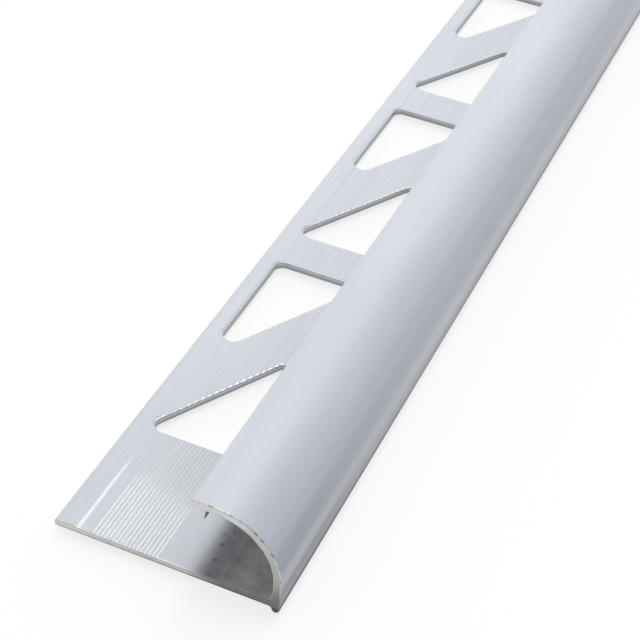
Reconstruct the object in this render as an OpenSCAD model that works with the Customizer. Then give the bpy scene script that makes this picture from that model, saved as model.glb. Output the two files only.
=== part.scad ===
// Quarter-round tile edge trim: one extruded aluminium profile with a punched anchoring leg.
// X runs across the profile from the free edge of the leg to the nose, Y runs along the length, Z is up.
// The origin lies under the middle of the piece, at the bottom of the foot.

/* [Stock] */
// Length that the profile is cut to
stock_l = 1000; // [250:50:2500]
// Width over all, from the free edge of the leg to the outside of the nose
profile_w = 23.5; // [22:0.5:40]

/* [Leg] */
// Thickness of the anchoring leg
leg_t = 0.7; // [0.6:0.1:1.5]
// Rounding of the leg's free edge
leg_edge_r = 0.3; // [0.1:0.05:0.35]

/* [Nose] */
// Tile height: from the underside of the leg to the top of the nose
tile_h = 10; // [9:0.5:15]
// Outside radius of the nose
nose_r = 7; // [5:0.5:8]
// Wall thickness of the nose
nose_t = 0.8; // [0.6:0.1:1.2]
// Reach of the nose over the leg, from its outside face to the end of the lip
nose_reach = 9.3; // [8.5:0.1:11]
// Fillet in the corner between the leg and the wall of the nose
root_r = 0.45; // [0.2:0.05:1]

/* [Barb] */
// Distance from the end of the lip to the barb under it
barb_inset = 0.9; // [0.4:0.1:1.5]
// Width of the barb where it leaves the lip
barb_root_w = 0.6; // [0.4:0.05:0.9]
// Width of the barb at its tip
barb_tip_w = 0.2; // [0.1:0.05:0.35]
// Slope of the barb's inner flank, as a setback of the tip
barb_setback = 0.08; // [0:0.02:0.2]
// Depth of the barb below the lip
barb_h = 1.2; // [0.6:0.1:1.8]

/* [Foot] */
// Depth of the foot below the underside of the leg
foot_h = 0.6; // [0.4:0.05:1]
// Fillet between the foot and the underside of the leg
foot_fillet_r = 0.35; // [0.2:0.05:0.6]

/* [Grip ribs] */
// Number of fine ribs along the leg
rib_count = 19; // [8:1:22]
// Distance from one rib to the next
rib_pitch = 0.42; // [0.34:0.02:0.44]
// Width of a rib where it leaves the leg
rib_w = 0.3; // [0.16:0.02:0.32]
// Height of a rib above the leg
rib_h = 0.03; // [0.02:0.01:0.15]
// Distance of the first rib's crest from the free edge
rib_start = 3.23; // [3.2:0.05:4]
// Width of the single low bead beside the ribs
bead_w = 1; // [0.6:0.05:1.2]
// Height of the single bead
bead_h = 0.055; // [0.03:0.005:0.15]
// Distance of the bead's crest from the free edge
bead_x = 2.1; // [1.9:0.05:2.3]

/* [Punching] */
// Distance from one window to the next
window_pitch = 37.5; // [34:0.5:50]
// Width of the cross bar between two windows
bar_w = 5.9; // [3:0.1:9]
// Width of the window across the leg
window_w = 9.7; // [8.6:0.1:10.4]
// Land between the free edge of the leg and the window
land_w = 2.1; // [1.5:0.1:3]
// Width of the diagonal brace that splits a window in two
brace_w = 5.8; // [3:0.1:8]
// Angle of the brace to the cross bars
brace_angle = 61; // [56:1:66]
// Corner radius of the punched triangles
punch_r = 1.1; // [0.5:0.1:1.4]

/* [Hidden] */
$fn = 96;

// Levels of the section, with the bottom of the foot at zero
leg_z = foot_h;
leg_top = leg_z + leg_t;
nose_top = leg_z + tile_h;
lip_under = nose_top - nose_t;

// Places across the section, counted from the free edge of the leg
wall_in = profile_w - nose_t;
arc_x = profile_w - nose_r;
arc_z = nose_top - nose_r;
lip_x = profile_w - nose_reach;
barb_x = lip_x + barb_inset;
edge_r = min(leg_edge_r, leg_t * 0.45);

// Radius of the bead's low arc, from its width and height
bead_r = (pow(bead_w / 2, 2) + pow(bead_h, 2)) / (2 * bead_h);

// Full-round foot, with a fillet that touches both the foot and the underside of the leg
foot_r = nose_t / 2;
foot_x = profile_w - foot_r;
fillet_z = leg_z - foot_fillet_r;
fillet_x = foot_x - sqrt(pow(foot_r + foot_fillet_r, 2) - pow(fillet_z - foot_r, 2));

// Windows, as many as fit with a margin of at least one cross bar at each end
window_l = window_pitch - bar_w;
window_count = floor((stock_l - bar_w) / window_pitch);
first_window = (stock_l - window_count * window_pitch + bar_w) / 2;
window_mid = [land_w + window_w / 2, window_l / 2];
punch_overrun = 1;

// Near triangle of a window: a corner on the brace line, the inner square corner and the far tip
brace_rise = tan(brace_angle);
brace_half = brace_w / 2 / cos(brace_angle);
tri_corner = [window_mid.x - (window_mid.y - brace_half) / brace_rise, 0];
tri_square = [land_w + window_w, 0];
tri_tip = [tri_square.x, window_mid.y - brace_half + brace_rise * window_w / 2];

function unit(v) = v / norm(v);

// Centre of the arc of radius r that rounds the corner p between its neighbours a and b
function corner_centre(p, a, b, r) =
    let (u = unit(a - p), v = unit(b - p), half = acos(u * v) / 2)
    p + unit(u + v) * r / sin(half);

// Point where that arc leaves the side that runs from p to the neighbour a
function corner_tangent(p, a, b, r) =
    let (u = unit(a - p), v = unit(b - p), half = acos(u * v) / 2)
    p + u * r / tan(half);

// Convex outline with true arcs at its corners
module rounded_outline(points, r) {
    n = len(points);
    polygon([
        for (i = [0 : n - 1], side = [n - 1, 1])
            corner_tangent(points[i], points[(i + side) % n], points[(i + n - side) % n], r)
    ]);
    for (i = [0 : n - 1])
        translate(corner_centre(points[i], points[(i + n - 1) % n], points[(i + 1) % n], r))
            circle(r = r);
}

// Flat leg with a rounded free edge
module leg_section() {
    translate([edge_r, leg_z])
        square([wall_in - edge_r, leg_t]);
    translate([0, leg_z + edge_r])
        square([edge_r, leg_t - 2 * edge_r]);
    for (z = [leg_z + edge_r, leg_top - edge_r])
        translate([edge_r, z])
            circle(r = edge_r);
}

// Fine ribs that key the leg into the adhesive, and the single low bead beside them
module rib_section() {
    half = rib_w / 2;
    rib_end = rib_start + (rib_count - 1) * rib_pitch;
    polygon(concat(
        [[rib_start - half, leg_top - rib_h], [rib_end + half, leg_top - rib_h]],
        [
            for (i = [0 : rib_count - 1], side = [1, 0, -1])
                [rib_end - i * rib_pitch + side * half, leg_top + (1 - abs(side)) * rib_h]
        ]
    ));
    translate([bead_x, leg_top])
        intersection() {
            translate([0, bead_h - bead_r])
                circle(r = bead_r);
            translate([-bead_w / 2, -bead_h])
                square([bead_w, 2 * bead_h]);
        }
}

// Upright wall, quarter-round nose and flat lip
module nose_section() {
    translate([wall_in, foot_r])
        square([nose_t, arc_z - foot_r]);
    translate([arc_x, arc_z])
        intersection() {
            difference() {
                circle(r = nose_r);
                circle(r = nose_r - nose_t);
            }
            square(nose_r);
        }
    translate([lip_x, lip_under])
        square([arc_x - lip_x, nose_t]);
    translate([wall_in - root_r, leg_top])
        difference() {
            square(root_r);
            translate([0, root_r])
                circle(r = root_r);
        }
}

// Barb under the lip that holds the grout
module barb_section() {
    barb_end = barb_x + barb_root_w;
    tip_end = barb_end - barb_setback;
    polygon([
        [barb_x, lip_under],
        [tip_end - barb_tip_w, lip_under - barb_h],
        [tip_end, lip_under - barb_h],
        [barb_end, lip_under]
    ]);
}

// Round foot below the wall
module foot_section() {
    translate([foot_x, foot_r])
        circle(r = foot_r);
    difference() {
        polygon([[fillet_x, fillet_z], [foot_x, foot_r], [foot_x, leg_z], [fillet_x, leg_z]]);
        translate([fillet_x, fillet_z])
            circle(r = foot_fillet_r);
    }
}

module profile_section() {
    leg_section();
    rib_section();
    nose_section();
    barb_section();
    foot_section();
}

// One punched window: two like triangles, turned end for end, with the brace left between them
module window_outline() {
    for (turn = [0, 180])
        translate(window_mid)
            rotate(turn)
                translate(-window_mid)
                    rounded_outline([tri_corner, tri_square, tri_tip], punch_r);
}

module trim_profile() {
    color([0.80, 0.82, 0.84])
        translate([-profile_w / 2, -stock_l / 2, 0])
            difference() {
                translate([0, stock_l, 0])
                    rotate([90, 0, 0])
                        linear_extrude(height = stock_l)
                            profile_section();
                for (i = [0 : window_count - 1])
                    translate([0, first_window + i * window_pitch, leg_z - punch_overrun])
                        linear_extrude(height = leg_t + 2 * punch_overrun)
                            window_outline();
            }
}

trim_profile();
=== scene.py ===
import math
import bmesh
import bpy
from mathutils import Matrix, Vector


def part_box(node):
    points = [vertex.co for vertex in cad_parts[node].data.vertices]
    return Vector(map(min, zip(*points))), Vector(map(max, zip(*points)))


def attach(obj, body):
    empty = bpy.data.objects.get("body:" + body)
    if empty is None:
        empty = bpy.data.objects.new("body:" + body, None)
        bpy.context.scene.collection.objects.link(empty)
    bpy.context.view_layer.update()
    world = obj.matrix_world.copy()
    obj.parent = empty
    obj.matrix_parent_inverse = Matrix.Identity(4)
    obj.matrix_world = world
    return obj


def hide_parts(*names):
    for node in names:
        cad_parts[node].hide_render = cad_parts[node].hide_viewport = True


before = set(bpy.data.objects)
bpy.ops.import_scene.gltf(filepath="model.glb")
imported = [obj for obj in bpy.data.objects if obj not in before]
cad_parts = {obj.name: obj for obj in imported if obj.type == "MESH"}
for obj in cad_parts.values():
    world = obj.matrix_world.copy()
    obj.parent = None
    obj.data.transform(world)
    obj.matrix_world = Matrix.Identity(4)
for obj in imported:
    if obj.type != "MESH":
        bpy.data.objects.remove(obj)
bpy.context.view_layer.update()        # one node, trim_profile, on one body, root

mm = 0.001
scene = bpy.context.scene
scene.view_settings.view_transform = "Standard"

trimLow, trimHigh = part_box("trim_profile")
trimWidth = (trimHigh[0] - trimLow[0]) / mm
trimLength = (trimHigh[1] - trimLow[1]) / mm
trimHeight = (trimHigh[2] - trimLow[2]) / mm
print("frame: trim is %.1f x %.1f x %.1f mm" % (trimWidth, trimLength, trimHeight))


# Millimetres on the trim, as places in the frame
def across(place):       # from the leg's free edge
    return trimLow[0] + place * mm


def along(place):        # from the near end
    return trimLow[1] + place * mm


def upward(place):       # from the floor
    return place * mm


def span(places, axis):
    return [axis(place) for place in places]


def placed(stops, axis):         # pairs of place and share
    return [(axis(place), share) for place, share in stops]


# Extruded section, in millimetres from the leg's free edge and from the floor
section = {
    "legThick": 0.7,
    "edgeRound": 0.3,
    "noseRadius": 7.0,
    "noseWall": 0.8,
    "lipReach": 9.3,
    "lipRound": 0.12,
    "rootRound": 0.45,
    "barbInset": 0.9,
    "barbRoot": 0.6,
    "barbTip": 0.2,
    "barbTipArc": (195, 350),        # degrees
    "barbSetback": 0.08,
    "barbDepth": 1.2,
    "footDepth": 0.6,
    "footFillet": 0.35,
    "ribCount": 19,
    "ribPitch": 0.42,
    "ribWidth": 0.3,
    "ribRise": 0.03,
    "ribStart": 3.23,
    "faintRibs": (0.40, 0.55, 0.74, 0.82),   # rise of the first ribs, as shares of the full one
    "beadPlace": 2.1,
    "beadLeft": 0.7,
    "beadCrown": (0.22, 7.6),        # mm right of the crest, and slope there in degrees
    "beadFlank": (0.62, 13.5),
    "arcStep": 4.0,                  # degrees
    "smallArcStep": 15.0,
    "beadStep": 2.0,
}
legBottom = section["footDepth"]
legTop = legBottom + section["legThick"]


def arc(centre, radius, start, end, step=section["arcStep"]):
    steps = max(2, math.ceil(abs(end - start) / step))
    points = []
    for i in range(steps + 1):
        angle = math.radians(start + (end - start) * i / steps)
        points.append((centre[0] + radius * math.cos(angle), centre[1] + radius * math.sin(angle)))
    return points


def ribRow():
    half = section["ribWidth"] / 2
    points = []
    for i in reversed(range(section["ribCount"])):
        crest = section["ribStart"] + i * section["ribPitch"]
        faint = section["faintRibs"][i] if i < len(section["faintRibs"]) else 1.0
        points.append((crest + half, legTop))
        points.append((crest, legTop + section["ribRise"] * faint))
        points.append((crest - half, legTop))
    return points


def beadRow():           # three arcs that run into each other: right flank, crown and left side
    crown, crownSlope = section["beadCrown"]
    flank, flankSlope = section["beadFlank"]
    left = section["beadLeft"]
    step = section["beadStep"]
    crownTurn = math.radians(crownSlope)
    flankTurn = math.radians(flankSlope)
    crownRadius = crown / math.sin(crownTurn)
    flankRadius = (flank - crown) / (math.sin(flankTurn) - math.sin(crownTurn))
    flankX = section["beadPlace"] + flank - flankRadius * math.sin(flankTurn)
    flankZ = legTop - flankRadius * math.cos(flankTurn)
    shift = flankRadius - crownRadius
    crownX = flankX + shift * math.sin(crownTurn)
    crownZ = flankZ + shift * math.cos(crownTurn)
    rise = crownZ + crownRadius - legTop
    leftRadius = (left ** 2 + rise ** 2) / (2 * rise)
    leftLean = math.degrees(math.asin(left / leftRadius))
    leftCentre = (section["beadPlace"], legTop + rise - leftRadius)
    points = arc((flankX, flankZ), flankRadius, 90 - flankSlope, 90 - crownSlope, step)
    points += arc((crownX, crownZ), crownRadius, 90 - crownSlope, 90, step)[1:]
    points += arc(leftCentre, leftRadius, 90, 90 + leftLean, step)[1:]
    return points


def sectionOutline():
    s = section
    noseTop = trimHeight
    lipUnder = noseTop - s["noseWall"]
    wallIn = trimWidth - s["noseWall"]
    arcCentre = (trimWidth - s["noseRadius"], noseTop - s["noseRadius"])
    lip = trimWidth - s["lipReach"]
    barb = lip + s["barbInset"]
    barbEnd = barb + s["barbRoot"]
    tipRound = s["barbTip"] / 2
    tipMiddle = (barbEnd - s["barbSetback"] - tipRound, lipUnder - s["barbDepth"] + tipRound)
    edge = s["edgeRound"]
    footRadius = s["noseWall"] / 2
    foot = (trimWidth - footRadius, footRadius)
    filletZ = legBottom - s["footFillet"]
    filletRun = math.sqrt((footRadius + s["footFillet"]) ** 2 - (filletZ - footRadius) ** 2)
    fillet = (foot[0] - filletRun, filletZ)
    lean = math.degrees(math.atan2(foot[1] - fillet[1], foot[0] - fillet[0]))
    root = (wallIn - s["rootRound"], legTop + s["rootRound"])
    lipCentre = lip + s["lipRound"]
    small = s["smallArcStep"]
    points = arc((edge, legBottom + edge), edge, 180, 270)
    points += arc(fillet, s["footFillet"], 90, lean)
    points += arc(foot, footRadius, lean + 180, 360)[1:]
    points += arc(arcCentre, s["noseRadius"], 0, 90)
    points += arc((lipCentre, noseTop - s["lipRound"]), s["lipRound"], 90, 180, small)
    points += arc((lipCentre, lipUnder + s["lipRound"]), s["lipRound"], 180, 270, small)
    points.append((barb, lipUnder))
    points += arc(tipMiddle, tipRound, *s["barbTipArc"], small)
    points.append((barbEnd, lipUnder))
    points += arc(arcCentre, s["noseRadius"] - s["noseWall"], 90, 0)
    points += arc(root, s["rootRound"], 0, -90)
    points += ribRow()
    points += beadRow()
    points += arc((edge, legTop - edge), edge, 90, 180)
    return points


def sectionFace():
    mesh = bpy.data.meshes.new("trimSection")
    corners = [(across(x), trimLow[1], upward(z)) for x, z in reversed(sectionOutline())]
    mesh.from_pydata(corners, [], [list(range(len(corners)))])
    return bpy.data.objects.new("punched_trim", mesh)


# Punched windows: two like triangles, turned end for end, with the brace between them
punch = {
    "windowPitch": 37.5,
    "crossBar": 5.9,
    "windowWidth": 9.7,
    "edgeLand": 2.1,
    "brace": 5.8,
    "braceAngle": 61.0,
    "cornerRound": 1.1,
    "cornerStep": 9.0,           # degrees
    "rollOver": (                # rise above the leg and growth of the hole there, in mm
        (-2.0, 0.0),
        (-0.15, 0.0),
        (-0.09, 0.015),
        (-0.045, 0.035),
        (0.0, 0.075),
        (0.036, 0.302),
        (0.6, 0.33),
    ),
}
windowLength = punch["windowPitch"] - punch["crossBar"]
windowCount = math.floor((trimLength - punch["crossBar"]) / punch["windowPitch"])
firstWindow = (trimLength - windowCount * punch["windowPitch"] + punch["crossBar"]) / 2


def triangleCorners():
    middle = (punch["edgeLand"] + punch["windowWidth"] / 2, windowLength / 2)
    rise = math.tan(math.radians(punch["braceAngle"]))
    half = punch["brace"] / 2 / math.cos(math.radians(punch["braceAngle"]))
    square = punch["edgeLand"] + punch["windowWidth"]
    near = Vector((middle[0] - (middle[1] - half) / rise, 0.0))
    far = Vector((square, middle[1] - half + rise * punch["windowWidth"] / 2))
    return [near, Vector((square, 0.0)), far], Vector(middle)


def roundedTriangle(corners, grow):
    radius = punch["cornerRound"]
    points = []
    for i, corner in enumerate(corners):
        before = (corners[i - 1] - corner).normalized()
        after = (corners[(i + 1) % len(corners)] - corner).normalized()
        halfAngle = before.angle(after) / 2
        centre = corner + (before + after).normalized() * radius / math.sin(halfAngle)
        sweep = math.pi - 2 * halfAngle
        steps = math.ceil(math.degrees(sweep) / punch["cornerStep"])
        start = math.atan2(-before.x, before.y)      # square to the side that comes in
        for k in range(steps + 1):
            turn = start + math.pi + sweep * k / steps
            points.append(centre + Vector((math.cos(turn), math.sin(turn))) * (radius + grow))
    return points


def punchTool():
    bm = bmesh.new()
    corners, middle = triangleCorners()
    for sign in (1, -1):
        rings = []
        for rise, grow in punch["rollOver"]:
            ring = []
            for point in roundedTriangle(corners, grow):
                spot = middle + sign * (point - middle)
                ring.append(bm.verts.new((across(spot.x), spot.y * mm, upward(legTop + rise))))
            rings.append(ring)
        count = len(rings[0])
        for below, above in zip(rings, rings[1:]):
            for k in range(count):
                n = (k + 1) % count
                bm.faces.new((below[k], below[n], above[n], above[k]))
        bm.faces.new(list(reversed(rings[0])))
        bm.faces.new(rings[-1])
    mesh = bpy.data.meshes.new("windowPunch")
    bm.to_mesh(mesh)
    bm.free()
    tool = bpy.data.objects.new("windowPunch", mesh)
    scene.collection.objects.link(tool)
    return tool


# Geometry Nodes: the section is drawn out to its length, then every window is punched
weldDistance = 0.0001 * mm
treeInputs = {
    "Section": "NodeSocketGeometry",
    "Length": "NodeSocketFloat",
    "First Window": "NodeSocketFloat",
    "Window Pitch": "NodeSocketFloat",
    "Window Count": "NodeSocketInt",
    "Punch": "NodeSocketObject",
    "Finish": "NodeSocketMaterial",
}


def addNode(tree, kind, settings=None, **inputs):
    node = tree.nodes.new(kind)
    for name, value in (settings or {}).items():
        setattr(node, name, value)
    for name, value in inputs.items():
        node.inputs[name.replace("_", " ")].default_value = value
    return node


def punchedTrimTree():
    tree = bpy.data.node_groups.new("punchedTrim", "GeometryNodeTree")
    for name, kind in treeInputs.items():
        tree.interface.new_socket(name, in_out="INPUT", socket_type=kind)
    tree.interface.new_socket("Trim", in_out="OUTPUT", socket_type="NodeSocketGeometry")
    source = addNode(tree, "NodeGroupInput").outputs
    result = addNode(tree, "NodeGroupOutput")
    link = tree.links.new

    drawn = addNode(tree, "GeometryNodeExtrudeMesh", {"mode": "FACES"}, Individual=False, Offset_Scale=1.0)
    travel = addNode(tree, "ShaderNodeCombineXYZ")
    link(source["Length"], travel.inputs["Y"])
    link(source["Section"], drawn.inputs["Mesh"])
    link(travel.outputs["Vector"], drawn.inputs["Offset"])
    nearEnd = addNode(tree, "GeometryNodeFlipFaces")
    link(source["Section"], nearEnd.inputs["Mesh"])
    stock = addNode(tree, "GeometryNodeJoinGeometry")
    link(drawn.outputs["Mesh"], stock.inputs["Geometry"])
    link(nearEnd.outputs["Mesh"], stock.inputs["Geometry"])
    closed = addNode(tree, "GeometryNodeMergeByDistance", Distance=weldDistance)
    link(stock.outputs["Geometry"], closed.inputs["Geometry"])

    start = addNode(tree, "ShaderNodeCombineXYZ")
    link(source["First Window"], start.inputs["Y"])
    step = addNode(tree, "ShaderNodeCombineXYZ")
    link(source["Window Pitch"], step.inputs["Y"])
    row = addNode(tree, "GeometryNodeMeshLine", {"mode": "OFFSET"})
    link(source["Window Count"], row.inputs["Count"])
    link(start.outputs["Vector"], row.inputs["Start Location"])
    link(step.outputs["Vector"], row.inputs["Offset"])
    tool = addNode(tree, "GeometryNodeObjectInfo")
    link(source["Punch"], tool.inputs["Object"])
    blows = addNode(tree, "GeometryNodeInstanceOnPoints")
    link(row.outputs["Mesh"], blows.inputs["Points"])
    link(tool.outputs["Geometry"], blows.inputs["Instance"])
    blowsReal = addNode(tree, "GeometryNodeRealizeInstances")
    link(blows.outputs["Instances"], blowsReal.inputs["Geometry"])

    punched = addNode(tree, "GeometryNodeMeshBoolean", {"operation": "DIFFERENCE", "solver": "EXACT"})
    link(closed.outputs["Geometry"], punched.inputs["Mesh 1"])
    link(blowsReal.outputs["Geometry"], punched.inputs["Mesh 2"])
    realized = addNode(tree, "GeometryNodeRealizeInstances")
    link(punched.outputs["Mesh"], realized.inputs["Geometry"])
    finished = addNode(tree, "GeometryNodeSetMaterial")
    link(realized.outputs["Geometry"], finished.inputs["Geometry"])
    link(source["Finish"], finished.inputs["Material"])
    link(finished.outputs["Geometry"], result.inputs["Trim"])
    return tree


def bakeNodes(piece, tree, values):
    scene.collection.objects.link(piece)
    modifier = piece.modifiers.new(tree.name, "NODES")
    modifier.node_group = tree
    for item in tree.interface.items_tree:
        if item.in_out == "INPUT" and item.name in values:
            modifier[item.identifier] = values[item.name]
    depsgraph = bpy.context.evaluated_depsgraph_get()
    mesh = bpy.data.meshes.new_from_object(piece.evaluated_get(depsgraph))
    piece.modifiers.remove(modifier)
    piece.data = mesh


# Helpers for the finishes
white = (1.0, 1.0, 1.0)
black = (0.0, 0.0, 0.0)


def newMaterial(name):
    material = bpy.data.materials.new(name)
    material.use_nodes = True
    tree = material.node_tree
    return material, tree, tree.nodes["Principled BSDF"]


def newMetal(name, roughness):
    material, tree, shader = newMaterial(name)
    shader.inputs["Metallic"].default_value = 1.0
    shader.inputs["Roughness"].default_value = roughness
    return material, tree, shader


def objectNoise(tree, scale, detail=3.0, roughness=0.5):
    place = addNode(tree, "ShaderNodeTexCoord")
    mapping = addNode(tree, "ShaderNodeMapping", Scale=scale)
    tree.links.new(place.outputs["Object"], mapping.inputs["Vector"])
    noise = addNode(tree, "ShaderNodeTexNoise", Scale=1.0, Detail=detail, Roughness=roughness)
    tree.links.new(mapping.outputs["Vector"], noise.inputs["Vector"])
    return noise.outputs["Fac"]


def objectAxes(tree):
    place = addNode(tree, "ShaderNodeTexCoord")
    axes = addNode(tree, "ShaderNodeSeparateXYZ")
    tree.links.new(place.outputs["Object"], axes.inputs["Vector"])
    return axes.outputs


def remap(tree, value, source, target=(0.0, 1.0), soft=False):
    kind = "SMOOTHSTEP" if soft else "LINEAR"
    node = addNode(tree, "ShaderNodeMapRange", {"clamp": True, "interpolation_type": kind})
    node.inputs["From Min"].default_value = source[0]
    node.inputs["From Max"].default_value = source[1]
    node.inputs["To Min"].default_value = target[0]
    node.inputs["To Max"].default_value = target[1]
    tree.links.new(value, node.inputs["Value"])
    return node.outputs["Result"]


def ramp(tree, value, stops):    # pairs of value and share, level before the first and after the last
    low, high = stops[0][0], stops[-1][0]
    node = addNode(tree, "ShaderNodeValToRGB")
    points = node.color_ramp.elements
    while len(points) < len(stops):
        points.new(0.5)          # moved to its own place below
    for point, (place, share) in zip(points, stops):
        point.position = (place - low) / (high - low)
        point.color = (share, share, share, 1.0)
    tree.links.new(remap(tree, value, (low, high)), node.inputs["Fac"])
    return node.outputs["Color"]


def calculate(tree, operation, first, second, clamp=False):
    node = addNode(tree, "ShaderNodeMath", {"operation": operation, "use_clamp": clamp})
    for socket, value in zip(node.inputs, (first, second)):
        if isinstance(value, float):
            socket.default_value = value
        else:
            tree.links.new(value, socket)
    return node.outputs["Value"]


def multiply(tree, first, second):
    return calculate(tree, "MULTIPLY", first, second)


def mixColor(tree, factor, first, second):
    node = addNode(tree, "ShaderNodeMix", {"data_type": "RGBA"})
    for socket, color in ((6, first), (7, second)):  # the node's two colour inputs
        if isinstance(color, tuple):
            node.inputs[socket].default_value = (*color, 1.0)
        else:
            tree.links.new(color, node.inputs[socket])
    tree.links.new(factor, node.inputs["Factor"])
    return node.outputs[2]       # its colour output


def addBump(tree, shader, height, strength, depth):
    bump = addNode(tree, "ShaderNodeBump", Strength=strength, Distance=depth * mm)
    tree.links.new(height, bump.inputs["Height"])
    tree.links.new(bump.outputs["Normal"], shader.inputs["Normal"])


# Anodised skin: places are mm, from the floor, the near end or the leg's free edge
anodised = {
    "pale": (0.624, 0.646, 0.681),
    "deep": (0.598, 0.620, 0.659),
    "cloudScale": (220.0, 40.0, 220.0),
    "cloudRange": (0.35, 0.65),
    "edgeTint": (0.20, 0.20, 0.24, 1.0),
    "roughness": (0.66, 0.71),
    "dieLineScale": (9000.0, 18.0, 9000.0),
    "dieLineRange": (0.3, 0.7),
    "coat": 0.35,                # clear layer of the skin, and more where the wall turns into the nose
    "coatUp": ((1.9, 0.35), (2.7, 0.50), (4.0, 0.50), (5.0, 0.35)),
    "coatRoughness": 0.06,
    "coatIor": 2.0,
    # painted shade: the skin darker toward the near end, standing in for less light there
    "nearEndShade": ((6.0, 0.943), (14.0, 0.947), (26.0, 0.965), (42.0, 0.975), (90.0, 1.0)),
    "footShade": ((0.2, 0.5), (0.9, 0.82), (1.6, 0.94), (2.6, 1.0)),  # painted shade: share of the colour kept, from the floor up
    "wallDepth": (0.5, 0.7),     # the leg is left out of the painted shade: mm in from the wall's outside
    "legClear": (0.2, 0.4),      # and mm above the leg
    # painted shade by the near end: share of the colour kept, from the floor up, with a lighter band where
    # the wall turns into the nose, and how far each shade reaches along
    "footEndShade": ((0.2, 0.70), (0.65, 0.68), (0.85, 1.0)),
    "footEndShadeAlong": ((0.0, 1.0), (24.0, 1.0), (36.0, 0.0)),
    "wallEndShade": (
        (0.85, 0.84), (1.1, 0.88), (1.6, 0.83), (2.1, 0.73),
        (2.6, 0.67), (3.2, 0.88), (4.2, 0.95), (4.6, 1.0),
    ),
    "wallEndShadeAlong": ((0.0, 1.0), (8.0, 0.95), (13.0, 0.75), (16.0, 0.45), (24.0, 0.25), (40.0, 0.0)),
    "noseEndShade": ((4.2, 1.0), (5.4, 0.78), (6.6, 0.815), (7.6, 1.0)),
    "noseEndShadeAlong": (
        (0.0, 1.0), (8.0, 0.85), (14.0, 0.6), (22.0, 0.45),
        (40.0, 0.35), (90.0, 0.25), (150.0, 0.0),
    ),
    # painted shade on the rib crests by the near end, standing in for the dimmer reflection in their
    # flanks
    "crestShade": 0.12,
    "crestShadeFlank": (0.2, 1.1),     # shares of half a rib's width
    "crestShadeAcross": ((3.0, 0.0), (4.5, 0.45), (6.5, 0.65), (8.0, 1.0), (10.8, 1.0), (11.0, 0.0)),
    "crestShadeAlong": (16.0, 30.0),
    "crestShadeDepth": (0.2, 0.1),     # mm below the leg's top
}
hollow = {                       # leg under the nose: a dull mottled stain, with painted shade where the nose shades the leg
    # dark is a painted shadow at the edge of the lip's shadow; dull is the stain, darkened further as
    # painted shade
    "dark": ((0.155, 0.158, 0.18), (0.195, 0.198, 0.225)),
    "dull": ((0.34, 0.335, 0.32), (0.44, 0.43, 0.41)),
    "mottleScale": (900.0, 700.0, 900.0),
    "mottleRange": (0.38, 0.62),
    # painted shade and stain: share of the dark colours, growing toward the nose
    "stainAndShadeAcross": (
        (11.0, 0.08), (12.0, 0.08), (13.4, 0.14), (14.4, 0.23),
        (15.1, 0.56), (15.8, 0.89), (16.6, 1.0),
    ),
    "darkEnds": (16.2, 19.5),
    "flecks": (15.0, 16.4),
    "fleckScale": (2100.0, 1500.0, 1.0),
    "fleckRange": (0.60, 0.68),
    "fleckColor": (0.07, 0.08, 0.085),
}


# painted shade on the rib crests by the near end
def shadeRibCrests(tree, axes, color):
    fromFirst = calculate(tree, "SUBTRACT", axes["X"], across(section["ribStart"]))
    fromCrest = calculate(tree, "PINGPONG", fromFirst, section["ribPitch"] / 2 * mm)
    flank = [share * section["ribWidth"] / 2 * mm for share in anodised["crestShadeFlank"]]
    crestShadeShare = remap(tree, fromCrest, flank, (anodised["crestShade"], 0.0))
    side = ramp(tree, axes["X"], placed(anodised["crestShadeAcross"], across))
    near = remap(tree, axes["Y"], span(anodised["crestShadeAlong"], along), (1.0, 0.0))
    top = remap(tree, axes["Z"], [upward(legTop - depth) for depth in anodised["crestShadeDepth"]])
    crestShadeShare = multiply(tree, multiply(tree, crestShadeShare, side), multiply(tree, near, top))
    return mixColor(tree, crestShadeShare, color, black)


# painted shade on the wall and nose: share of the colour kept, darker at the foot and by the near end
def unshadedShare(tree, axes):
    left = ramp(tree, axes["Z"], placed(anodised["footShade"], upward))
    for endShade in ("footEndShade", "wallEndShade", "noseEndShade"):
        endShaded = ramp(tree, axes["Z"], placed(anodised[endShade], upward))
        near = ramp(tree, axes["Y"], placed(anodised[endShade + "Along"], along))
        left = multiply(tree, left, mixColor(tree, near, white, endShaded))
    inside = remap(tree, axes["X"], [trimHigh[0] - depth * mm for depth in anodised["wallDepth"]])
    leg = remap(tree, axes["Z"], [upward(legTop + rise) for rise in anodised["legClear"]], (1.0, 0.0))
    return calculate(tree, "MAXIMUM", left, multiply(tree, inside, leg))


# stain and painted shade on the leg under the nose, with small dark flecks
def stainAndShadeHollow(tree, side, color):
    mottle = objectNoise(tree, hollow["mottleScale"], detail=4.0, roughness=0.65)
    mottle = remap(tree, mottle, hollow["mottleRange"])
    dark = mixColor(tree, mottle, *hollow["dark"])
    dull = mixColor(tree, mottle, *hollow["dull"])
    inward = remap(tree, side, span(hollow["darkEnds"], across), soft=True)
    stainAndShade = ramp(tree, side, placed(hollow["stainAndShadeAcross"], across))
    color = mixColor(tree, stainAndShade, color, mixColor(tree, inward, dark, dull))
    low, high = span(hollow["flecks"], across)
    middle = (low + high) / 2
    rise = remap(tree, side, (low, middle))
    fall = remap(tree, side, (middle, high), (1.0, 0.0))
    spots = remap(tree, objectNoise(tree, hollow["fleckScale"], detail=0.0), hollow["fleckRange"])
    flecks = multiply(tree, multiply(tree, rise, fall), spots)
    return mixColor(tree, flecks, color, hollow["fleckColor"])


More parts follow.
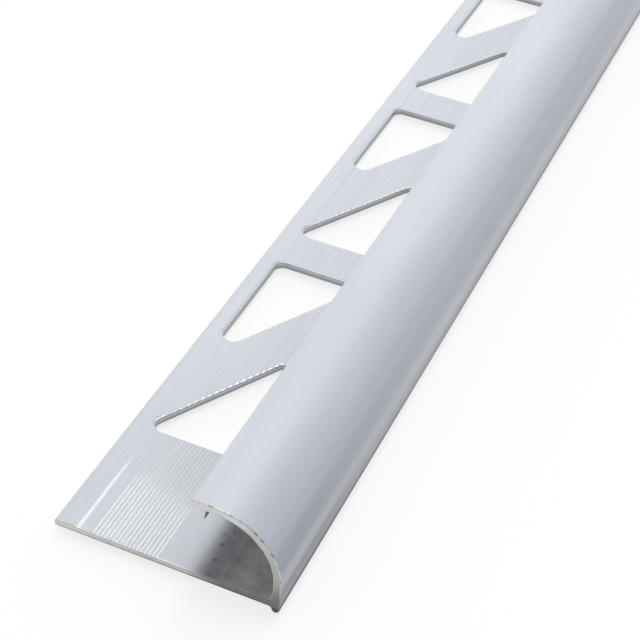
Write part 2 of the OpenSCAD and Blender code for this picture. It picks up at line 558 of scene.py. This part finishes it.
def makeAnodised(name, withHollow=False):
    material, tree, shader = newMaterial(name)
    shader.inputs["Metallic"].default_value = 1.0
    shader.inputs["Specular Tint"].default_value = anodised["edgeTint"]
    shader.inputs["Coat Weight"].default_value = anodised["coat"]
    shader.inputs["Coat Roughness"].default_value = anodised["coatRoughness"]
    shader.inputs["Coat IOR"].default_value = anodised["coatIor"]
    cloud = remap(tree, objectNoise(tree, anodised["cloudScale"], detail=4.0), anodised["cloudRange"])
    color = mixColor(tree, cloud, anodised["deep"], anodised["pale"])
    axes = objectAxes(tree)
    # painted shade toward the near end
    nearShade = ramp(tree, axes["Y"], placed(anodised["nearEndShade"], along))
    color = mixColor(tree, nearShade, black, color)
    if withHollow:
        # stain and painted shade under the nose
        color = stainAndShadeHollow(tree, axes["X"], color)
    else:
        # painted shade on the rib crests, then on the wall and nose, which also thins the coat there
        color = shadeRibCrests(tree, axes, color)
        unshaded = unshadedShare(tree, axes)
        color = mixColor(tree, unshaded, black, color)
        coat = ramp(tree, axes["Z"], placed(anodised["coatUp"], upward))
        tree.links.new(multiply(tree, unshaded, coat), shader.inputs["Coat Weight"])
    tree.links.new(color, shader.inputs["Base Color"])
    dieLines = objectNoise(tree, anodised["dieLineScale"], detail=2.0)
    rough = remap(tree, dieLines, anodised["dieLineRange"], anodised["roughness"])
    tree.links.new(rough, shader.inputs["Roughness"])
    return material


# Sawn ends: heights are mm from the floor, places across are mm from the leg's free edge
sawnMetal = {
    "bright": (0.75, 0.755, 0.74),
    "dull": (0.61, 0.62, 0.605),
    # painted shade: the nose's end darker toward the floor
    "lowShade": (0.44, 0.45, 0.43),
    "lowShadeUp": ((3.5, 1.0), (4.7, 0.9), (6.4, 0.84), (7.8, 0.60), (9.0, 0.62), (9.7, 0.0)),
    "lowShadeAcross": (14.5, 17.0),
    # painted shade: the leg's end darker toward the bottom and toward the nose
    "deepShade": (0.21, 0.206, 0.198),
    "deepShadeUp": (4.8, 1.2),
    "deepShadeAcross": ((2.0, 0.04), (6.0, 0.16), (10.0, 0.26), (14.0, 0.26), (17.5, 1.0)),
    "dark": (0.05, 0.05, 0.048),
    "darkUp": (0.9, 0.05),       # painted shade, darker toward the bottom of the foot
    "lineUp": (0.74, 0.88),      # painted shade: dark line along the lower edge of the leg
    "lineAcross": ((2.0, 0.40), (12.0, 0.48), (14.0, 0.68), (21.2, 0.75), (21.8, 0.0)),
    "roughness": 0.5,
    "scratchScale": (900.0, 900.0, 14000.0),
    "scratchRange": (0.35, 0.65),
    "scratchStrength": 0.5,
    "scratchDepth": 0.004,       # mm
}


def makeSawnEnd():
    material, tree, shader = newMetal("sawnEnd", sawnMetal["roughness"])
    scratches = objectNoise(tree, sawnMetal["scratchScale"])
    scratched = remap(tree, scratches, sawnMetal["scratchRange"])
    color = mixColor(tree, scratched, sawnMetal["dull"], sawnMetal["bright"])
    axes = objectAxes(tree)
    # painted shade on the nose's end, darker toward the floor
    side = remap(tree, axes["X"], span(sawnMetal["lowShadeAcross"], across))
    low = ramp(tree, axes["Z"], placed(sawnMetal["lowShadeUp"], upward))
    color = mixColor(tree, multiply(tree, side, low), color, sawnMetal["lowShade"])
    # painted shade on the leg's end, darker toward the bottom and the nose, and darker still at the foot
    side = ramp(tree, axes["X"], placed(sawnMetal["deepShadeAcross"], across))
    low = remap(tree, axes["Z"], span(sawnMetal["deepShadeUp"], upward), soft=True)
    color = mixColor(tree, multiply(tree, side, low), color, sawnMetal["deepShade"])
    low = remap(tree, axes["Z"], span(sawnMetal["darkUp"], upward))
    color = mixColor(tree, multiply(tree, side, low), color, sawnMetal["dark"])
    # painted shade along the lower edge of the leg
    side = ramp(tree, axes["X"], placed(sawnMetal["lineAcross"], across))
    low = remap(tree, axes["Z"], span(sawnMetal["lineUp"], upward), (1.0, 0.0))
    color = mixColor(tree, multiply(tree, low, side), color, sawnMetal["dark"])
    tree.links.new(color, shader.inputs["Base Color"])
    addBump(tree, shader, scratches, sawnMetal["scratchStrength"], sawnMetal["scratchDepth"])
    return material


sawBurr = {                      # broken edge round the sawn ends, with places as above
    "clean": (0.63, 0.645, 0.64),
    "torn": (0.30, 0.30, 0.31),
    "dashScale": (1700.0, 1700.0, 1700.0),
    "tornFrom": (0.49, 0.42),    # noise below this is a torn dash
    "tornUp": (2.0, 4.0),
    "tornLeast": 0.15,           # share of the tearing that is left low down
    "tornAcross": (15.0, 16.0),
    # painted shade low down toward the nose, as on the sawn end
    "deepShade": (0.24, 0.235, 0.225),
    "deepShadeUp": (3.5, 1.6),
    "deepShadeAcross": (13.0, 16.0),
    # painted shade along the bottom of the edge
    "underside": (0.20, 0.20, 0.19),
    "undersideUp": (0.85, 0.70),
    "roughness": 0.5,
}


def makeSawBurr():
    material, tree, shader = newMetal("sawBurr", sawBurr["roughness"])
    axes = objectAxes(tree)
    dashes = remap(tree, objectNoise(tree, sawBurr["dashScale"], detail=2.0), sawBurr["tornFrom"])
    high = remap(tree, axes["Z"], span(sawBurr["tornUp"], upward), (sawBurr["tornLeast"], 1.0))
    curved = remap(tree, axes["X"], span(sawBurr["tornAcross"], across))
    torn = multiply(tree, multiply(tree, high, curved), dashes)
    color = mixColor(tree, torn, sawBurr["clean"], sawBurr["torn"])
    # painted shade low down toward the nose
    side = remap(tree, axes["X"], span(sawBurr["deepShadeAcross"], across))
    low = remap(tree, axes["Z"], span(sawBurr["deepShadeUp"], upward))
    color = mixColor(tree, multiply(tree, side, low), color, sawBurr["deepShade"])
    # painted shade along the bottom
    below = remap(tree, axes["Z"], span(sawBurr["undersideUp"], upward))
    color = mixColor(tree, below, color, sawBurr["underside"])
    tree.links.new(color, shader.inputs["Base Color"])
    return material


punchedMetal = {                 # walls of the windows
    "burnished": (0.52, 0.53, 0.545),
    "torn": (0.315, 0.32, 0.335),
    "tearLine": 0.6,             # share of the wall, from below, that is torn
    "tearBlend": 0.12,           # mm
    "roughness": 0.42,
    "streakScale": (9000.0, 9000.0, 500.0),
    "streakStrength": 0.4,
    "streakDepth": 0.01,         # mm
}


def makePunchedWall():
    material, tree, shader = newMetal("punchedWall", punchedMetal["roughness"])
    tearLine = legBottom + punchedMetal["tearLine"] * section["legThick"]
    half = punchedMetal["tearBlend"] / 2
    clean = remap(tree, objectAxes(tree)["Z"], span((tearLine - half, tearLine + half), upward))
    color = mixColor(tree, clean, punchedMetal["torn"], punchedMetal["burnished"])
    tree.links.new(color, shader.inputs["Base Color"])
    streaks = objectNoise(tree, punchedMetal["streakScale"], detail=2.0)
    addBump(tree, shader, streaks, punchedMetal["streakStrength"], punchedMetal["streakDepth"])
    return material


ribEnds = {                      # ends of the ribs on the rolled-over rim of the windows
    "color": (0.55, 0.565, 0.59, 1.0),
    "roughness": 0.38,
}


def makeRibEnds():
    material, _, shader = newMetal("ribEnds", ribEnds["roughness"])
    shader.inputs["Base Color"].default_value = ribEnds["color"]
    return material


# Saw edge, surface finishes and creases of the punched trim
finish = {
    "sawEdge": 0.1,              # mm broken off round each end
    "sawSteps": 2,
    "sawProfile": 0.5,           # round
    "sawnFacing": 0.99,          # least share of a face's normal along the trim
    "burrFacing": 0.3,
    "hollowFacing": 0.2,         # least share upward
    "ribEndFacing": 0.9,
    "ribEndSlant": 0.002,        # least slant, across times along
    "flatFacing": 0.97,
    "wallFacing": 0.25,          # greatest share upward
    "legMargin": 0.1,            # mm above the leg
    "windowMargin": 0.2,         # mm round a window
    "ribMargin": (0.5, 0.4),     # pitches before the first rib and after the last
    "creaseAngle": 30.0,         # degrees
    "ribCrease": 3.0,
    "slack": 0.001,              # mm
}
ends = (trimLow[1], trimHigh[1])
slack = finish["slack"] * mm
lastRib = section["ribStart"] + (section["ribCount"] - 1) * section["ribPitch"]
ribFrom = across(section["ribStart"] - finish["ribMargin"][0] * section["ribPitch"])
ribTo = across(lastRib + finish["ribMargin"][1] * section["ribPitch"])
windowFrom = across(punch["edgeLand"] - finish["windowMargin"])
windowTo = across(punch["edgeLand"] + punch["windowWidth"] + finish["windowMargin"])
legUnder = upward(legTop + finish["legMargin"])
hollowTo = trimHigh[0] - section["noseWall"] * mm
hollowUnder = upward(legTop + section["rootRound"])
barbFrom = across(trimWidth - section["lipReach"] + section["barbInset"])
barbTo = barbFrom + section["barbRoot"] * mm
barbRoot = trimHigh[2] - section["noseWall"] * mm


def fromEnd(point):
    return min(abs(point.y - y) for y in ends)


def isSawn(face):
    return abs(face.normal.y) > finish["sawnFacing"] and fromEnd(face.calc_center_median()) < slack


def isFlat(face):
    return abs(face.normal.z) > finish["flatFacing"] and face.calc_center_median().z < legUnder


def onBarb(edge):
    middle = (edge.verts[0].co + edge.verts[1].co) / 2
    within = barbFrom - slack < middle.x < barbTo + slack
    return within and upward(legTop) + slack < middle.z < barbRoot - slack


def breakSawEdges(bm):           # the barb keeps its sharp edge
    rims = [e for e in bm.edges if sum(isSawn(f) for f in e.link_faces) == 1 and not onBarb(e)]
    bmesh.ops.bevel(
        bm,
        geom=rims,
        offset=finish["sawEdge"] * mm,
        offset_type="OFFSET",
        segments=finish["sawSteps"],
        profile=finish["sawProfile"],
        affect="EDGES",
        clamp_overlap=True,
        material=-1,
    )


def finishOf(face):
    centre = face.calc_center_median()
    facing = face.normal
    slanted = abs(facing.x * facing.y) > finish["ribEndSlant"]
    if isSawn(face):
        return "sawn"
    if fromEnd(centre) < finish["sawEdge"] * mm and abs(facing.y) > finish["burrFacing"]:
        return "burr"
    if facing.z > finish["hollowFacing"] and ribTo < centre.x < hollowTo and centre.z < hollowUnder:
        return "hollow"
    if abs(facing.z) < finish["wallFacing"] and windowFrom < centre.x < windowTo and centre.z < legUnder:
        return "punched"
    if facing.z > finish["ribEndFacing"] and slanted and ribFrom < centre.x < ribTo:
        return "ribEnds"
    return "anodised"


def creaseEdges(bm):
    for edge in bm.edges:
        if len(edge.link_faces) != 2:
            continue
        first, second = edge.link_faces
        angle = math.degrees(edge.calc_face_angle(0.0))
        crease = angle > finish["creaseAngle"] or first.material_index != second.material_index
        ridge = isFlat(first) and isFlat(second) and angle > finish["ribCrease"]
        rim = isFlat(first) != isFlat(second)
        edge.smooth = not (crease or ridge or rim)


def finishTrim(piece, materials):
    mesh = piece.data
    bm = bmesh.new()
    bm.from_mesh(mesh)
    breakSawEdges(bm)
    order = list(materials)
    for face in bm.faces:
        face.smooth = True
        face.material_index = order.index(finishOf(face))
    creaseEdges(bm)
    openEdges = sum(1 for e in bm.edges if len(e.link_faces) != 2)
    mesh.materials.clear()
    for material in materials.values():
        mesh.materials.append(material)
    bm.to_mesh(mesh)
    bm.free()
    print("trim: %d faces, %d open edges" % (len(mesh.polygons), openEdges))


finishes = {
    "anodised": makeAnodised("anodisedSilver"),
    "sawn": makeSawnEnd(),
    "burr": makeSawBurr(),
    "punched": makePunchedWall(),
    "hollow": makeAnodised("anodisedHollow", withHollow=True),
    "ribEnds": makeRibEnds(),
}
print("finishes made:", len(finishes))

trim = sectionFace()
punchObject = punchTool()
bakeNodes(trim, punchedTrimTree(), {
    "Length": trimLength * mm,
    "First Window": along(firstWindow),
    "Window Pitch": punch["windowPitch"] * mm,
    "Window Count": windowCount,
    "Punch": punchObject,
    "Finish": finishes["anodised"],
})
bpy.data.objects.remove(punchObject)
print("windows punched:", windowCount)
finishTrim(trim, finishes)

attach(trim, "root")
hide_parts("trim_profile")


# Floor, light and camera
studio = {
    "floorSize": 60.0,           # metres
    "floorColor": (0.97, 0.97, 0.97, 1.0),
    "floorGlow": 0.72,           # share of plain white in the floor as seen, so its shadow stays light
    "lampHeight": 2.0,           # metres
    "lampAcross": (-9.0, 4.0),   # degrees from straight above the near end
    "lampAlong": (-39.4, 39.4),
    "lampPower": 29.5,
    "fillAlong": (0.118, 1.42),  # room light before and behind the trim
    "fillLeft": 0.25,            # more of it on the left
    "fillHeights": ((0.0, 0.44), (0.22, 1.17), (0.5, 1.10), (0.72, 0.61), (1.0, 0.45)),
    "fillTint": (0.77, 0.78, 0.88),      # darker, cooler wall on the right
    "frontToBack": (-0.1, 0.5),  # shares of the direction between which the room light changes
    "toLeft": (0.1, -0.6),
    "toRight": (0.1, 0.6),
}


def makeFloor():
    half = studio["floorSize"] / 2
    mesh = bpy.data.meshes.new("floor")
    corners = [(-half, -half, 0.0), (half, -half, 0.0), (half, half, 0.0), (-half, half, 0.0)]
    mesh.from_pydata(corners, [], [(0, 1, 2, 3)])
    floor = bpy.data.objects.new("floor", mesh)
    scene.collection.objects.link(floor)
    material, tree, shader = newMaterial("palePaper")
    shader.inputs["Base Color"].default_value = studio["floorColor"]
    shader.inputs["Roughness"].default_value = 1.0
    shader.inputs["Specular IOR Level"].default_value = 0.0
    rays = addNode(tree, "ShaderNodeLightPath").outputs
    seen = calculate(tree, "ADD", rays["Is Camera Ray"], rays["Is Glossy Ray"])
    seen = calculate(tree, "ADD", seen, rays["Is Transmission Ray"], clamp=True)
    share = remap(tree, seen, (0.0, 1.0), (0.0, studio["floorGlow"]))
    glow = addNode(tree, "ShaderNodeEmission", Strength=1.0)
    mixed = addNode(tree, "ShaderNodeMixShader")
    tree.links.new(share, mixed.inputs["Fac"])
    tree.links.new(shader.outputs["BSDF"], mixed.inputs[1])
    tree.links.new(glow.outputs["Emission"], mixed.inputs[2])
    tree.links.new(mixed.outputs["Shader"], tree.nodes["Material Output"].inputs["Surface"])
    mesh.materials.append(material)


def makeLamp():
    height = studio["lampHeight"]
    left, right = (height * math.tan(math.radians(angle)) for angle in studio["lampAcross"])
    front, back = (height * math.tan(math.radians(angle)) for angle in studio["lampAlong"])
    light = bpy.data.lights.new("overheadPanel", "AREA")
    light.shape = "RECTANGLE"
    light.size = right - left
    light.size_y = back - front
    light.energy = studio["lampPower"]
    lamp = bpy.data.objects.new("overheadPanel", light)
    lamp.location = ((left + right) / 2, trimLow[1] + (front + back) / 2, height)
    lamp.visible_camera = False
    scene.collection.objects.link(lamp)


def makeWorld():
    world = bpy.data.worlds.new("studioRoom")
    world.use_nodes = True
    tree = world.node_tree
    background = tree.nodes["Background"]
    place = addNode(tree, "ShaderNodeTexCoord")
    direction = addNode(tree, "ShaderNodeSeparateXYZ")
    tree.links.new(place.outputs["Generated"], direction.inputs["Vector"])
    toward = direction.outputs
    tint = mixColor(tree, remap(tree, toward["X"], studio["toRight"]), white, studio["fillTint"])
    tree.links.new(tint, background.inputs["Color"])
    behind = remap(tree, toward["Y"], studio["frontToBack"], studio["fillAlong"])
    left = remap(tree, toward["X"], studio["toLeft"], (0.0, studio["fillLeft"]))
    raised = ramp(tree, toward["Z"], studio["fillHeights"])
    strength = multiply(tree, calculate(tree, "ADD", behind, left), raised)
    tree.links.new(strength, background.inputs["Strength"])
    scene.world = world


view = {
    "place": (48.191, -597.869, 119.935),    # mm in the frame
    "aim": (-1.234, -460.459, 1.3),
    "roll": 5.55,                # degrees
    "lens": 96.112,
    "sensor": 36.0,
    "clipStart": 0.01,           # metres
}


def makeCamera():
    data = bpy.data.cameras.new("camera")
    data.lens = view["lens"]
    data.sensor_width = view["sensor"]
    data.clip_start = view["clipStart"]
    camera = bpy.data.objects.new("camera", data)
    place = Vector(view["place"]) * mm
    turn = (Vector(view["aim"]) * mm - place).to_track_quat("-Z", "Y").to_matrix().to_4x4()
    roll = Matrix.Rotation(math.radians(view["roll"]), 4, "Z")
    camera.matrix_world = Matrix.Translation(place) @ turn @ roll
    scene.collection.objects.link(camera)
    scene.camera = camera


makeFloor()
makeLamp()
makeWorld()
makeCamera()
print("floor, light and camera set")
